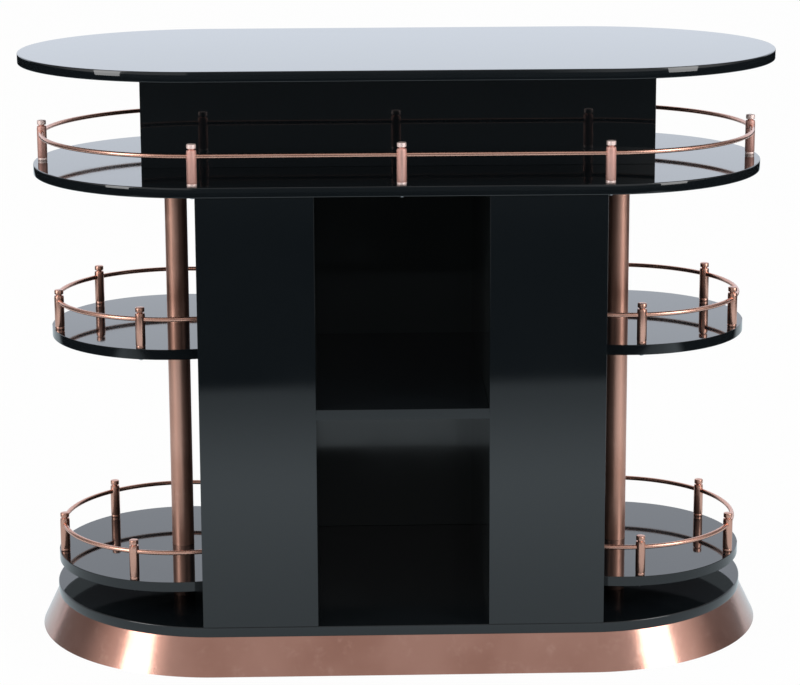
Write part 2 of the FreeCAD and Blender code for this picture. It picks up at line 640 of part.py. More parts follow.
glide = doc.addObject("PartDesign::Body", "glide")
disc = new_sketch(glide)
draw_circle(disc, "Sizes.glide_dia / 2")
pad(glide, disc, "Sizes.glide_height")
glide_places = []
for x in (f"-({PLINTH_END} - Sizes.panel_thick / 2)", "0", f"{PLINTH_END} - Sizes.panel_thick / 2"):
    for sign in ("-", ""):
        glide_places.append((x, f"{sign}({PLINTH_FRONT} - Sizes.panel_thick / 2)", "0"))
group("glides", copies(glide, glide_places))


def stick(name, length_x, length_y, x, y, z):
    """A square batten; x and y are its middle, z its lower face."""
    box = doc.addObject("Part::Box", name)
    for path, expression in (("Length", length_x), ("Width", length_y), ("Height", "Sizes.batten")):
        bind(box, path, expression)
    put(box, f"{x} - ({length_x}) / 2", f"{y} - ({length_y}) / 2", z)
    return box


# Battens inside the pillars lie along the side panels and the niche walls, and those inside the
# apron lie along its long panels; each fixes a panel to the board above or below it.
battens = []
pillar_batten = f"({NICHE_BACK} + {WALL_FRONT} - 2 * Sizes.batten_setback)"
pillar_batten_y = f"(({NICHE_BACK} - {WALL_FRONT}) / 2)"
apron_batten = "(Sizes.apron_length - 2 * Sizes.panel_thick - 2 * Sizes.batten_setback)"
for sign in ("-", ""):
    for wall_face in (f"({BODY_SIDE} - Sizes.panel_thick - Sizes.batten / 2)",
                      f"({NICHE_SIDE} + Sizes.panel_thick + Sizes.batten / 2)"):
        for z in (BASE_TOP, f"{DECK_UNDER} - Sizes.batten"):
            x = f"{sign}{wall_face}"
            battens.append(stick("pillar_batten", "Sizes.batten", pillar_batten, x, pillar_batten_y, z))
    apron_wall = f"{sign}({APRON_INNER} / 2 - Sizes.batten / 2)"
    for z in (DECK_TOP, f"{TOP_UNDER} - Sizes.batten"):
        battens.append(stick("apron_batten", apron_batten, "Sizes.batten", "0", apron_wall, z))
group("fixing_battens", battens)

# ------------------------------------------------------------------------------- checks and output
doc.recompute()
for item in doc.Objects:
    if {"Invalid", "Error"} & set(item.State):
        raise ValueError(f"{item.Label} failed: {item.State}")
for node in NODES:
    if node.Shape.isNull() or not node.Shape.isValid():
        raise ValueError(f"{node.Label} has no valid shape")

os.makedirs("parts", exist_ok=True)
for node in NODES:
    node.Shape.exportStep(f"parts/{node.Label}.step")
print(f"{len(NODES)} nodes written")
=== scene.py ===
import math

import bmesh
import bpy
from mathutils import Matrix, Vector


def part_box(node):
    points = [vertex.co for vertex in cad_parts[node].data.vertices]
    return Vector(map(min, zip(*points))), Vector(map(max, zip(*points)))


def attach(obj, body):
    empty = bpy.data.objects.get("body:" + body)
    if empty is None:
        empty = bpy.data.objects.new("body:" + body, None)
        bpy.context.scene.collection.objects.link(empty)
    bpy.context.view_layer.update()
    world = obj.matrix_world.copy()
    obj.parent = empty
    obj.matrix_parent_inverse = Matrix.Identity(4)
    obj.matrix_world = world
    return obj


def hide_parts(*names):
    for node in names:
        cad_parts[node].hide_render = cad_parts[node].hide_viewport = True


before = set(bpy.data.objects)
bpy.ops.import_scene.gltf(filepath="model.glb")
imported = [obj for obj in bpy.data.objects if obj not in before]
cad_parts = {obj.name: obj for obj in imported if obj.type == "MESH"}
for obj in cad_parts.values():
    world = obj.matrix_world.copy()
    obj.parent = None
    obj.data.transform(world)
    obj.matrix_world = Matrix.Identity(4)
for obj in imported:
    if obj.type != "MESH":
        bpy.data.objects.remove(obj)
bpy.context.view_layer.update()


# ------------------------------------------------------------------------------ plinth and glides
# Four plain boards on edge, screwed into a frame, carry the whole counter. They are sanded birch
# plywood, like the hidden battens and the plugs in the tubes, and moulded glides under the corners
# keep them off a wet floor.

class Signal:
    """One output of a node tree. Arithmetic on it adds Math nodes."""

    def __init__(self, net, socket):
        self.net, self.socket = net, socket

    def maths(self, operation, *values):
        return self.net.node("ShaderNodeMath", {"operation": operation}, dict(enumerate(values)))

    def __add__(self, other):
        return self.maths("ADD", self, other)

    def __sub__(self, other):
        return self.maths("SUBTRACT", self, other)

    def __rsub__(self, other):
        return self.maths("SUBTRACT", other, self)

    def __mul__(self, other):
        return self.maths("MULTIPLY", self, other)

    def __truediv__(self, other):
        return self.maths("DIVIDE", self, other)

    def __rtruediv__(self, other):
        return self.maths("DIVIDE", other, self)

    def __gt__(self, other):
        return self.maths("GREATER_THAN", self, other)

    def __abs__(self):
        return self.maths("ABSOLUTE", self)

    __radd__ = __add__
    __rmul__ = __mul__


class Net:
    """A node tree and the one method that adds to it."""

    def __init__(self, tree):
        self.tree = tree

    def node(self, kind, settings=None, inputs=None, output=0):
        """Add a node: its settings, then its sockets' values or links. Returns one output."""
        made = self.tree.nodes.new(kind)
        for name, value in (settings or {}).items():
            setattr(made, name, value)
        for name, value in (inputs or {}).items():
            if isinstance(value, Signal):
                self.tree.links.new(value.socket, made.inputs[name])
            else:
                made.inputs[name].default_value = value
        return Signal(self, made.outputs[output]) if made.outputs else None

    def blend(self, share, first, second):
        """Two colours, mixed by share."""
        colours = {6: first, 7: second}
        for index, colour in colours.items():
            if isinstance(colour, tuple):
                colours[index] = (*colour, 1.0)
        return self.node("ShaderNodeMix", {"data_type": "RGBA"}, {0: share, **colours}, 2)

    def between(self, value, low, high, start=0.0, end=1.0):
        """Goes smoothly from start to end as value goes from low to high, and is held beyond."""
        sockets = {"Value": value, "From Min": low, "From Max": high, "To Min": start, "To Max": end}
        return self.node("ShaderNodeMapRange", {"interpolation_type": "SMOOTHSTEP"}, sockets)


class Finish(Net):
    """A surface finish: its shader's plain values are set here, and what varies is linked after."""

    def __init__(self, name, **values):
        self.material = bpy.data.materials.new(name)
        self.material.use_nodes = True
        super().__init__(self.material.node_tree)
        self.shader = self.tree.nodes["Principled BSDF"]
        for word, value in values.items():
            self.shader.inputs[word.replace("_", " ").title().replace("Ior", "IOR")].default_value = value
        self.place = self.node("ShaderNodeTexCoord", output="Object")

    def vary(self, **signals):
        """Link what changes over the surface to the shader's sockets."""
        for word, signal in signals.items():
            self.tree.links.new(signal.socket, self.shader.inputs[word.replace("_", " ").title()])

    def stretched(self, x, y, z):
        """The place on the piece, scaled for a grain that runs one way."""
        return self.node("ShaderNodeMapping", None, {"Vector": self.place, "Scale": (x, y, z)})

    def noise(self, scale, detail, place=None, roughness=0.5):
        sockets = {"Vector": place or self.place, "Scale": scale, "Detail": detail, "Roughness": roughness}
        return self.node("ShaderNodeTexNoise", None, sockets)

    def relief(self, height, depth):
        """A bump of that depth in metres."""
        return self.node("ShaderNodeBump", None, {"Strength": 1.0, "Distance": depth, "Height": height})


plywood = Finish("plywood", specular_ior_level=0.35)
veneer = plywood.noise(9.0, 6.0, plywood.stretched(1.0, 1.0, 14.0), roughness=0.6)
plies = plywood.node("ShaderNodeTexWave", {"bands_direction": "Z"},
                     {"Vector": plywood.place, "Scale": 110.0, "Distortion": 1.2, "Detail": 2.0})
plywood.vary(
    base_color=plywood.blend(veneer * 0.75 + plies * 0.25, (0.47, 0.31, 0.17), (0.68, 0.51, 0.33)),
    roughness=plywood.between(veneer, 0.3, 0.7, 0.62, 0.78),
    normal=plywood.relief(veneer, 0.00012),
)

glide_plastic = Finish("glide_plastic", specular_ior_level=0.4)
scuffs = glide_plastic.noise(320.0, 4.0)
glide_plastic.vary(
    base_color=glide_plastic.blend(scuffs, (0.018, 0.018, 0.019), (0.045, 0.045, 0.047)),
    roughness=glide_plastic.between(scuffs, 0.3, 0.7, 0.5, 0.72),
    normal=glide_plastic.relief(scuffs, 0.00004),
)


def dress(node, finish):
    """Give a CAD node its finish."""
    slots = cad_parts[node].data.materials
    slots.clear()
    slots.append(finish.material)


for part in ("plinth_front", "plinth_back", "plinth_left", "plinth_right", "fixing_battens", "pole_plugs"):
    dress(part, plywood)
dress("glides", glide_plastic)


# ---------------------------------------------------------------------------------- copper skirt
# One flared copper sheet runs round the plinth, from under the base board down to the floor. It is
# rolled, polished and clear-coated, and its return is screwed up into the board.

MIRROR = ((0.43, 0.195, 0.138), (0.54, 0.272, 0.205), (0.62, 0.35, 0.275))
# Painted highlight: a pale tone blended into rings of a turned piece, standing in for the light that its cap
# and foot catch.
PAINTED_HIGHLIGHT_TONE = (0.96, 0.83, 0.79)
PAINTED_HIGHLIGHT_SHARE = 0.8
PAINTED_HIGHLIGHT_EDGE = 0.0004


def rose_copper(name, tones, grain, roughness, relief, coat_roughness, coat_weight, highlight_rings=()):
    """Rose copper in deep, main and pale tones, with a fine grain stretched along X, Y and Z.

    Highlight rings are the heights above a turned piece's foot between which a pale tone is blended in as a
    painted highlight.
    """
    copper = Finish(name, metallic=1.0, coat_ior=1.5, coat_roughness=coat_roughness, coat_weight=coat_weight)
    drawn = copper.noise(260.0, 4.0, copper.stretched(*grain), roughness=0.65)
    cloud = copper.noise(5.5, 3.0)
    handling = copper.noise(38.0, 5.0, roughness=0.7)
    deep, main, pale = tones
    tone = copper.blend(copper.between(cloud, 0.25, 0.6), deep, main)
    tone = copper.blend(copper.between(handling, 0.52, 0.78) * 0.6, tone, pale)
    # Each ring blends the pale tone in as a painted highlight.
    for low, high in highlight_rings:
        height = copper.node("ShaderNodeAttribute", {"attribute_name": "height"}, output="Fac")
        ring = copper.between(height, low - PAINTED_HIGHLIGHT_EDGE, low)
        ring = ring * (1.0 - copper.between(height, high, high + PAINTED_HIGHLIGHT_EDGE))
        tone = copper.blend(ring * PAINTED_HIGHLIGHT_SHARE, tone, PAINTED_HIGHLIGHT_TONE)
    copper.vary(
        base_color=tone,
        roughness=copper.between(drawn * 0.7 + handling * 0.3, 0.3, 0.7, roughness * 0.8, roughness * 1.25),
        normal=copper.relief(drawn, relief),
    )
    return copper


def recipe(name, sizes):
    """An empty Geometry Nodes tree with a line to start from, named sizes and a finish."""
    tree = bpy.data.node_groups.new(name, "GeometryNodeTree")
    kinds = {"Line": "Geometry", **sizes, "Finish": "Material"}
    for label, kind in kinds.items():
        tree.interface.new_socket(label, in_out="INPUT", socket_type="NodeSocket" + kind)
    tree.interface.new_socket("Mesh", in_out="OUTPUT", socket_type="NodeSocketGeometry")
    net = Net(tree)
    return net, {label: net.node("NodeGroupInput", output=label) for label in kinds}


def serve(net, geometry, finish):
    """End a recipe: real geometry, shaded smooth, with its finish."""
    real = net.node("GeometryNodeRealizeInstances", None, {0: geometry})
    real = net.node("GeometryNodeSetShadeSmooth", None, {"Geometry": real, "Shade Smooth": True})
    painted = net.node("GeometryNodeSetMaterial", None, {"Geometry": real, "Material": finish})
    net.node("NodeGroupOutput", None, {"Mesh": painted})


WELD = 1e-6

# An edge that turns by more than CREASE degrees stays sharp. Beside a face of more than FLAT_AREA
# square metres the limit is FLAT_CREASE, so that boards and panels look flat to their arrises.
CREASE = 35.0
FLAT_CREASE = 2.0
FLAT_AREA = 0.002


def turn_out(shape):
    """Point a shape's faces outwards and keep its creases sharp."""
    bmesh.ops.remove_doubles(shape, verts=shape.verts, dist=WELD)
    bmesh.ops.recalc_face_normals(shape, faces=shape.faces)
    for face in shape.faces:
        face.smooth = True
    for edge in shape.edges:
        flat = any(face.calc_area() > FLAT_AREA for face in edge.link_faces)
        limit = math.radians(FLAT_CREASE if flat else CREASE)
        edge.smooth = len(edge.link_faces) == 2 and edge.calc_face_angle(0.0) < limit


def line_mesh(name, points, closed=False):
    """A bare line through points, for a recipe to start from."""
    mesh = bpy.data.meshes.new(name)
    edges = [(index, index + 1) for index in range(len(points) - 1)]
    if closed:
        edges.append((len(points) - 1, 0))
    mesh.from_pydata([Vector(point).to_3d() for point in points], edges, [])
    return mesh


def cook(name, tree, start, finish, **sizes):
    """Run a recipe from a starting mesh and keep the result as a plain mesh piece."""
    piece = bpy.data.objects.new(name, start)
    bpy.context.scene.collection.objects.link(piece)
    modifier = piece.modifiers.new("recipe", "NODES")
    modifier.node_group = tree
    values = {word.capitalize(): value for word, value in sizes.items()}
    values["Finish"] = finish.material
    for item in tree.interface.items_tree:
        if item.name in values:
            modifier[item.identifier] = values[item.name]
    evaluated = piece.evaluated_get(bpy.context.evaluated_depsgraph_get())
    mesh = bpy.data.meshes.new_from_object(evaluated)
    piece.modifiers.clear()
    piece.data = mesh
    shape = bmesh.new()
    shape.from_mesh(mesh)
    turn_out(shape)
    shape.to_mesh(mesh)
    shape.free()
    return piece


def fit(piece, slot, *nodes):
    """Seat a finished piece on the counter in place of the CAD nodes that it stands for."""
    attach(piece, "root")
    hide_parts(*nodes)


# A section is drawn outwards (x) and downwards (y), and swept round a path with two straight sides
# and two half-circle ends: a circle, turned by half a step and pulled apart at its middle.
net, given = recipe("round_ended_sweep", {"Straight": "Float", "Radius": "Float", "Points": "Int"})
ring = net.node("GeometryNodeCurvePrimitiveCircle", None,
                {"Resolution": given["Points"], "Radius": given["Radius"]}, "Curve")
half_step = net.node("ShaderNodeCombineXYZ", None, {"Z": math.pi / given["Points"]})
turned = net.node("GeometryNodeTransform", None, {"Geometry": ring, "Rotation": half_step})
spot = net.node("ShaderNodeSeparateXYZ", None, {0: net.node("GeometryNodeInputPosition")}, "X")
pull = net.node("ShaderNodeCombineXYZ", None, {"X": spot.maths("SIGN", spot) * given["Straight"]})
path = net.node("GeometryNodeSetPosition", None, {"Geometry": turned, "Offset": pull})
section = net.node("GeometryNodeMeshToCurve", None, {"Mesh": given["Line"]})
wall = net.node("GeometryNodeCurveToMesh", None, {"Curve": path, "Profile Curve": section})
serve(net, wall, given["Finish"])
round_ended_sweep = net.tree


def round_ended(name, section, finish, straight, radius, level, board=False, points=256):
    """Sweep a section round the ends; a board's is open, and a flat face closes each of its rims."""
    line = line_mesh(name + "_section", section, closed=not board)
    piece = cook(name, round_ended_sweep, line, finish, straight=straight, radius=radius, points=points)
    shape = bmesh.new()
    shape.from_mesh(piece.data)
    if board:
        rims = [edge for edge in shape.edges if len(edge.link_faces) == 1]
        middle = sum(edge.verts[0].co.z for edge in rims) / len(rims)
        for upper in (True, False):
            rim = [edge for edge in rims if (edge.verts[0].co.z > middle) == upper]
            bmesh.ops.contextual_create(shape, geom=rim)
        turn_out(shape)
    shape.transform(Matrix.Translation((0.0, 0.0, level)))
    shape.to_mesh(piece.data)
    shape.free()
    return piece


BASE_STRAIGHT, BASE_RADIUS = 0.325, 0.302
FLARE = 0.030
SHEET = 0.0015
SETBACK = 0.001
RETURN = 0.016
skirt_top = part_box("skirt")[1].z

skirt_copper = rose_copper("skirt_copper", MIRROR, grain=(1.0, 1.0, 0.08), roughness=0.15, relief=0.000012,
                           coat_roughness=0.26, coat_weight=1.0)
outside = [(FLARE * share - SETBACK, skirt_top * (share - 1.0)) for share in (0.0, 0.25, 0.5, 0.75, 1.0)]
inside = [(FLARE * share - SETBACK - SHEET, skirt_top * (share - 1.0)) for share in (1.0, 0.5)]
fold = [
    (-SETBACK - SHEET, SHEET - skirt_top),
    (-SETBACK - RETURN, SHEET - skirt_top),
    (-SETBACK - RETURN, -skirt_top),
]
skirt = round_ended("copper_skirt", outside + inside + fold, skirt_copper, BASE_STRAIGHT, BASE_RADIUS, 0.0)
fit(skirt, "rose_copper", "skirt")


# ------------------------------------------------------------------------------------ base board
# An 18 mm board with full round ends lies on the plinth. Like every board and panel of the counter
# it is sprayed with black lacquer, flatted and buffed until it shines like a mirror.

def black_lacquer(name, roughness, black):
    """Buffed black lacquer: nearly flat, with faint waves from spraying and a little polishing haze."""
    lacquer = Finish(name, ior=1.5, specular_ior_level=0.5, coat_ior=1.5, coat_roughness=0.02,
                     coat_weight=0.15)
    haze = lacquer.noise(4.0, 4.0, roughness=0.6)
    waves = lacquer.noise(85.0, 1.0)
    dust = lacquer.node("ShaderNodeTexVoronoi", {"feature": "F1"}, {"Vector": lacquer.place, "Scale": 130.0})
    speck = (1.0 - lacquer.between(dust, 0.03, 0.07)) * (lacquer.noise(17.0, 2.0) > 0.58)
    lacquer.vary(
        base_color=lacquer.blend(speck * 0.5 + haze * 0.1, black, (0.02, 0.022, 0.025)),
        roughness=lacquer.between(haze, 0.35, 0.7, roughness, roughness * 2.0) + speck * 0.15,
        normal=lacquer.relief(waves, 0.0000025),
    )
    return lacquer


lacquer = black_lacquer("black_lacquer", 0.03, (0.0038, 0.0054, 0.0066))

BOARD = 0.018
ROUND_OVER = 0.0016
ROUND_OVER_STEPS = 4

# A board's rim from the underside to the face, with both arrises rounded.
rim_section = []
for corner, height in enumerate((ROUND_OVER, BOARD - ROUND_OVER)):
    for step in range(ROUND_OVER_STEPS + 1):
        turn = math.radians(90.0 * (corner + step / ROUND_OVER_STEPS))
        rim_section.append((ROUND_OVER * (math.sin(turn) - 1.0), ROUND_OVER * math.cos(turn) - height))


def lacquered_board(name, straight, radius, node):
    """A lacquered board with round ends, on the level of the node that it stands for."""
    piece = round_ended(name, rim_section, lacquer, straight, radius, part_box(node)[0].z, board=True)
    fit(piece, "black_lacquer", node)


lacquered_board("base", BASE_STRAIGHT, BASE_RADIUS, "base_board")


# --------------------------------------------------------------------------------------- cabinet
# Two hollow pillars of upright panels stand on the base board, with an open niche and its shelf
# between them. The panels are glued edge to edge, their arrises eased before spraying.

ARRIS = 0.0006
ARRIS_ANGLE = 40.0
SHORTEST_ARRIS = 0.012
FLATNESS = 0.5


def lacquered_panel(node, finish, ease=ARRIS):
    """A copy of a CAD panel with whole faces in place of triangles, and its arrises eased."""
    shape = bmesh.new()
    shape.from_mesh(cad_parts[node].data)
    bmesh.ops.remove_doubles(shape, verts=shape.verts, dist=WELD)
    bmesh.ops.dissolve_limit(shape, angle_limit=math.radians(FLATNESS), verts=shape.verts, edges=shape.edges)
    if ease:
        arrises = [edge for edge in shape.edges if edge.calc_face_angle(0.0) > math.radians(ARRIS_ANGLE)
                   and edge.calc_length() > SHORTEST_ARRIS]
        bmesh.ops.bevel(shape, geom=arrises, offset=ease, segments=2, profile=0.5, affect="EDGES",
                        clamp_overlap=True)
    turn_out(shape)
    mesh = bpy.data.meshes.new(node + "_lacquered")
    shape.to_mesh(mesh)
    shape.free()
    mesh.materials.append(finish.material)
    piece = bpy.data.objects.new(node + "_lacquered", mesh)
    bpy.context.scene.collection.objects.link(piece)
    fit(piece, "black_lacquer", node)


for panel in ("body_front_left", "body_front_right", "body_side_left", "body_side_right", "niche_shelf"):
    lacquered_panel(panel, lacquer)

# The niche's panels are painted a lighter black than the outside, as painted light in the niche, and their
# lacquer is rougher.
niche_lacquer = black_lacquer("niche_lacquer", 0.07, (0.014, 0.0175, 0.0175))
for panel in ("niche_wall_left", "niche_wall_right", "body_back"):
    lacquered_panel(panel, niche_lacquer)


# ----------------------------------------------------------------------------------- end shelves
# Four discs, cut flat where they meet the cabinet, are threaded on the tubes and screwed to the
# cabinet from inside. Their rims are chamfered and lacquered like the boards.

for shelf in ("low_shelf_left", "low_shelf_right", "mid_shelf_left", "mid_shelf_right"):
    lacquered_panel(shelf, lacquer, ease=0.0)


# ----------------------------------------------------------------------------------------- tubes
# A copper tube at each end stands on the base board, passes through both shelves and props the
# deck. It is drawn, polished to a satin and deburred, and its fine grain runs along it.

def turned_piece(name, outline, closed=False, sides=48):
    """A piece turned about the upright axis from its outline: radius and height, from the foot up."""
    shape = bmesh.new()
    verts = [shape.verts.new((radius, 0.0, height)) for radius, height in outline]
    ends = verts[1:] + verts[:1] if closed else verts[1:]
    edges = [shape.edges.new(pair) for pair in zip(verts, ends)]
    bmesh.ops.spin(shape, geom=verts + edges, cent=(0, 0, 0), axis=(0, 0, 1), angle=math.tau, steps=sides,
                   use_merge=True)
    turn_out(shape)
    mesh = bpy.data.meshes.new(name)
    shape.to_mesh(mesh)
    shape.free()
    return bpy.data.objects.new(name, mesh)


SATIN = ((0.62, 0.325, 0.24), (0.73, 0.405, 0.31), (0.80, 0.49, 0.395))
tube_copper = rose_copper("tube_copper", SATIN, grain=(1.0, 1.0, 0.02), roughness=0.40, relief=0.000004,
                          coat_roughness=0.3, coat_weight=0.2)
TUBE_X = 0.398
TUBE_RADIUS = 0.020
TUBE_WALL = 0.0015
DEBURR = 0.0003

for side, x in (("left", -TUBE_X), ("right", TUBE_X)):
    foot, head = (corner.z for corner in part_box(f"pole_{side}"))
    bore = TUBE_RADIUS - TUBE_WALL
    outline = [
        (TUBE_RADIUS, foot + DEBURR), (TUBE_RADIUS, head - DEBURR), (TUBE_RADIUS - DEBURR, head),
        (bore, head), (bore, foot), (TUBE_RADIUS - DEBURR, foot),
    ]
    tube = turned_piece(f"tube_{side}", outline, closed=True, sides=96)
    tube.data.transform(Matrix.Translation((x, 0.0, 0.0)))
    tube.data.materials.append(tube_copper.material)
    bpy.context.scene.collection.objects.link(tube)
    fit(tube, "rose_copper", f"pole_{side}")


# ------------------------------------------------------------------------- deck, apron and top
# The upper deck lies on the cabinet and the tubes. A box of four boards raises the top above it,
# and both boards have round ends like the base.

DECK_STRAIGHT, DECK_RADIUS = 0.343, 0.305
TOP_STRAIGHT, TOP_RADIUS = 0.345, 0.325

lacquered_board("deck", DECK_STRAIGHT, DECK_RADIUS, "upper_deck")
for panel in ("apron_front", "apron_back", "apron_left", "apron_right"):
    lacquered_panel(panel, lacquer)
lacquered_board("top", TOP_STRAIGHT, TOP_RADIUS, "top_slab")


# --------------------------------------------------------------------------------- gallery rails
# Bent 8 mm copper rods guard the deck and the shelves. The deck's rod closes on itself inside the
# corner posts, and each shelf's rod ends against the cabinet.

rod_copper = rose_copper("rod_copper", SATIN, grain=(1.0, 1.0, 1.0), roughness=0.25, relief=0.000002,
                         coat_roughness=0.3, coat_weight=0.2)
ROD_RADIUS = 0.004
ROD_SIDES = 24
DECK_INSET = 0.015
SHELF_RADIUS = 0.226
SHELF_INSET = 0.0105
SHELF_STEPS = 96
TUBE_TO_CABINET = 0.051

net, given = recipe("rod_along_line", {"Radius": "Float", "Sides": "Int"})
section = net.node("GeometryNodeCurvePrimitiveCircle", None,
                   {"Radius": given["Radius"], "Resolution": given["Sides"]}, "Curve")
line = net.node("GeometryNodeMeshToCurve", None, {"Mesh": given["Line"]})
rod = net.node("GeometryNodeCurveToMesh", None, {"Curve": line, "Profile Curve": section, "Fill Caps": True})
serve(net, rod, given["Finish"])
rod_along_line = net.tree


def middle(node):
    """The middle of a CAD node's box."""
    low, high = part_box(node)
    return (low + high) / 2


corners = [math.tau * step / ROD_SIDES for step in range(ROD_SIDES)]
rod_section = [(ROD_RADIUS * math.cos(turn), ROD_RADIUS * math.sin(turn)) for turn in corners]
deck_rod = round_ended("deck_gallery_rod", rod_section, rod_copper, DECK_STRAIGHT, DECK_RADIUS - DECK_INSET,
                       middle("deck_rail_front").z, points=192)
fit(deck_rod, "rose_copper", "deck_rail_front", "deck_rail_back", "deck_rail_left", "deck_rail_right")

bend = SHELF_RADIUS - SHELF_INSET
reach = math.acos(-TUBE_TO_CABINET / bend)
turns = [reach * (2.0 * step / SHELF_STEPS - 1.0) for step in range(SHELF_STEPS + 1)]
for level in ("low", "mid"):
    for side, x, out in (("left", -TUBE_X, -1.0), ("right", TUBE_X, 1.0)):
        node = f"{level}_rail_{side}"
        z = middle(node).z
        points = [(x + out * bend * math.cos(turn), bend * math.sin(turn), z) for turn in turns]
        rod = cook(f"{level}_gallery_rod_{side}", rod_along_line, line_mesh("rod_line", points), rod_copper,
                   radius=ROD_RADIUS, sides=ROD_SIDES)
        fit(rod, "rose_copper", node)


# --------------------------------------------------------------------------------- gallery posts
# The deck's are brushed and painted paler than the shelves', as painted light where they stand above
# the deck, with pale rings on their caps and feet as painted highlights. The shelves' are polished all
# over, in the darker satin of the tubes, as painted shade under the deck. Each is held by one screw
# from under its board.

net, given = recipe("copies_at_places", {"Piece": "Object"})
master = net.node("GeometryNodeObjectInfo", None, {"Object": given["Piece"]}, "Geometry")
aim = net.node("GeometryNodeInputNamedAttribute", {"data_type": "FLOAT_VECTOR"}, {"Name": "aim"})
tilt = net.node("FunctionNodeAlignRotationToVector", {"axis": "Z"}, {"Vector": aim})
spread = net.node("GeometryNodeInstanceOnPoints", None,
                  {"Points": given["Line"], "Instance": master, "Rotation": tilt})
serve(net, spread, given["Finish"])
copies_at_places = net.tree


def copies(name, master, places, finish):
    """Copies of a turned piece at places, each a point and the way that its axis points."""
    points = bpy.data.meshes.new(name + "_places")
    points.from_pydata([point for point, _ in places], [], [])
    aims = points.attributes.new("aim", "FLOAT_VECTOR", "POINT")
    aims.data.foreach_set("vector", [number for _, way in places for number in way])
    return cook(name, copies_at_places, points, finish, piece=master)


POST_FOOT = [
    (0.0, 0.0), (0.0080, 0.0), (0.0083, 0.0004), (0.0084, 0.0012), (0.0084, 0.0036), (0.0082, 0.0044),
    (0.0081, 0.0048), (0.0082, 0.0052), (0.0086, 0.0060),
]
POST_NECK = [
    (0.0086, 0.0562), (0.0084, 0.0590), (0.0080, 0.0613), (0.0077, 0.0616), (0.0050, 0.0616),
    (0.0050, 0.0644),
]
POST_CAP = [
    (0.0077, 0.0644), (0.0080, 0.0647), (0.0080, 0.0706), (0.0077, 0.0713), (0.0070, 0.0718),
    (0.0060, 0.0720), (0.0, 0.0720),
]
# Painted light: the deck posts' tones are paler than the satin of the shelf posts, which stand in the shade
# under the deck.
DECK_POST_LIT_TONES = ((0.69, 0.40, 0.34), (0.80, 0.485, 0.415), (0.86, 0.58, 0.52))
POST_GRAIN = (1.0, 1.0, 0.02)
deck_post_copper = rose_copper("deck_post_copper", DECK_POST_LIT_TONES, POST_GRAIN, roughness=0.62, relief=0.000003,
                               coat_roughness=0.4, coat_weight=0.15, highlight_rings=((0.0, 0.0044), (0.0650, 0.0720)))
shelf_post_copper = rose_copper("shelf_post_copper", SATIN, POST_GRAIN, roughness=0.30, relief=0.000001,
                                coat_roughness=0.3, coat_weight=0.15)

post_master = turned_piece("turned_post", POST_FOOT + POST_NECK + POST_CAP)
heights = post_master.data.attributes.new("height", "FLOAT", "POINT")
heights.data.foreach_set("value", [vert.co.z for vert in post_master.data.vertices])
UPRIGHT = (0.0, 0.0, 1.0)

for tier, copper in (("deck", deck_post_copper), ("mid", shelf_post_copper), ("low", shelf_post_copper)):
    nodes = [node for node in sorted(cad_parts) if node.startswith(tier + "_post_")]
    feet = [(middle(node).x, middle(node).y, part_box(node)[0].z) for node in nodes]
    posts = copies(tier + "_gallery_posts", post_master, [(foot, UPRIGHT) for foot in feet], copper)
    fit(posts, "rose_copper", *nodes)


# ---------------------------------------------------------------------------------------- screws
# Zinc-plated pan-head screws hold the posts, the shelves and the skirt. Only those under the deck
# and the middle shelves can be seen, as small dots below the rims.

zinc = Finish("zinc", metallic=1.0)
plating = zinc.noise(700.0, 4.0)
zinc.vary(
    base_color=zinc.blend(plating, (0.42, 0.43, 0.45), (0.66, 0.67, 0.69)),
    roughness=zinc.between(plating, 0.3, 0.7, 0.22, 0.4),
    normal=zinc.relief(plating, 0.00002),
)
HEAD_RADIUS, HEAD_HEIGHT = 0.004, 0.0031
RECESS = 0.0012
SHANK_RADIUS, POINT = 0.002, 0.001
SCREW_SIDES = 20


def screw_places(node):
    """Where a node's screws bear and the way that they point, and their length under the head."""
    shape = bmesh.new()
    shape.from_mesh(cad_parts[node].data)
    bmesh.ops.remove_doubles(shape, verts=shape.verts, dist=WELD)
    unseen, places = set(shape.verts), []
    for start in shape.verts:
        points, reached = [], [start]
        while reached:
            vert = reached.pop()
            if vert in unseen:
                unseen.remove(vert)
                points.append(vert.co.copy())
                reached.extend(edge.other_vert(vert) for edge in vert.link_edges)
        if points:
            low = Vector(min(point[axis] for point in points) for axis in range(3))
            high = Vector(max(point[axis] for point in points) for axis in range(3))
            size, centre = high - low, (low + high) / 2
            long_axis = max(range(3), key=lambda axis: size[axis])
            way = Vector(float(axis == long_axis) for axis in range(3))
            widest = max(points, key=lambda point: ((point - centre) - (point - centre).project(way)).length)
            if (widest - centre).dot(way) > 0.0:
                way = -way
            places.append((centre - way * (size[long_axis] / 2 - HEAD_HEIGHT), way))
            length = size[long_axis] - HEAD_HEIGHT
    shape.free()
    return places, length


for node in ("post_screws", "skirt_screws", "shelf_fixing_screws"):
    places, length = screw_places(node)
    screw_outline = [
        (0.0, RECESS - HEAD_HEIGHT), (0.0011, RECESS - HEAD_HEIGHT), (0.0015, -HEAD_HEIGHT),
        (0.0026, -HEAD_HEIGHT), (0.0034, 0.0004 - HEAD_HEIGHT), (0.0038, 0.0011 - HEAD_HEIGHT),
        (HEAD_RADIUS, -0.0010), (HEAD_RADIUS, 0.0), (SHANK_RADIUS, 0.0), (SHANK_RADIUS, length - POINT),
        (SHANK_RADIUS / 2, length), (0.0, length),
    ]
    screw_master = turned_piece(node + "_master", screw_outline, sides=SCREW_SIDES)
    fit(copies(node + "_turned", screw_master, places, zinc), "zinc_steel", node)


# ---------------------------------------------------------------------------------------- camera
# The camera stands four metres in front of the counter at a person's eye level, a little to the
# left, and looks slightly down. Its focal length is in pixels of a frame 800 wide.

CAMERA_PLACE = (-0.10857581, -4.38600897, 1.56319699)
YAW, PITCH, ROLL = 0.025619964650581913, -0.20298991258091817, -0.004426266160592581
FOCAL_LENGTH, FRAME_WIDTH = 2480.094, 800.0
SENSOR = 36.0
SHIFT = -0.1

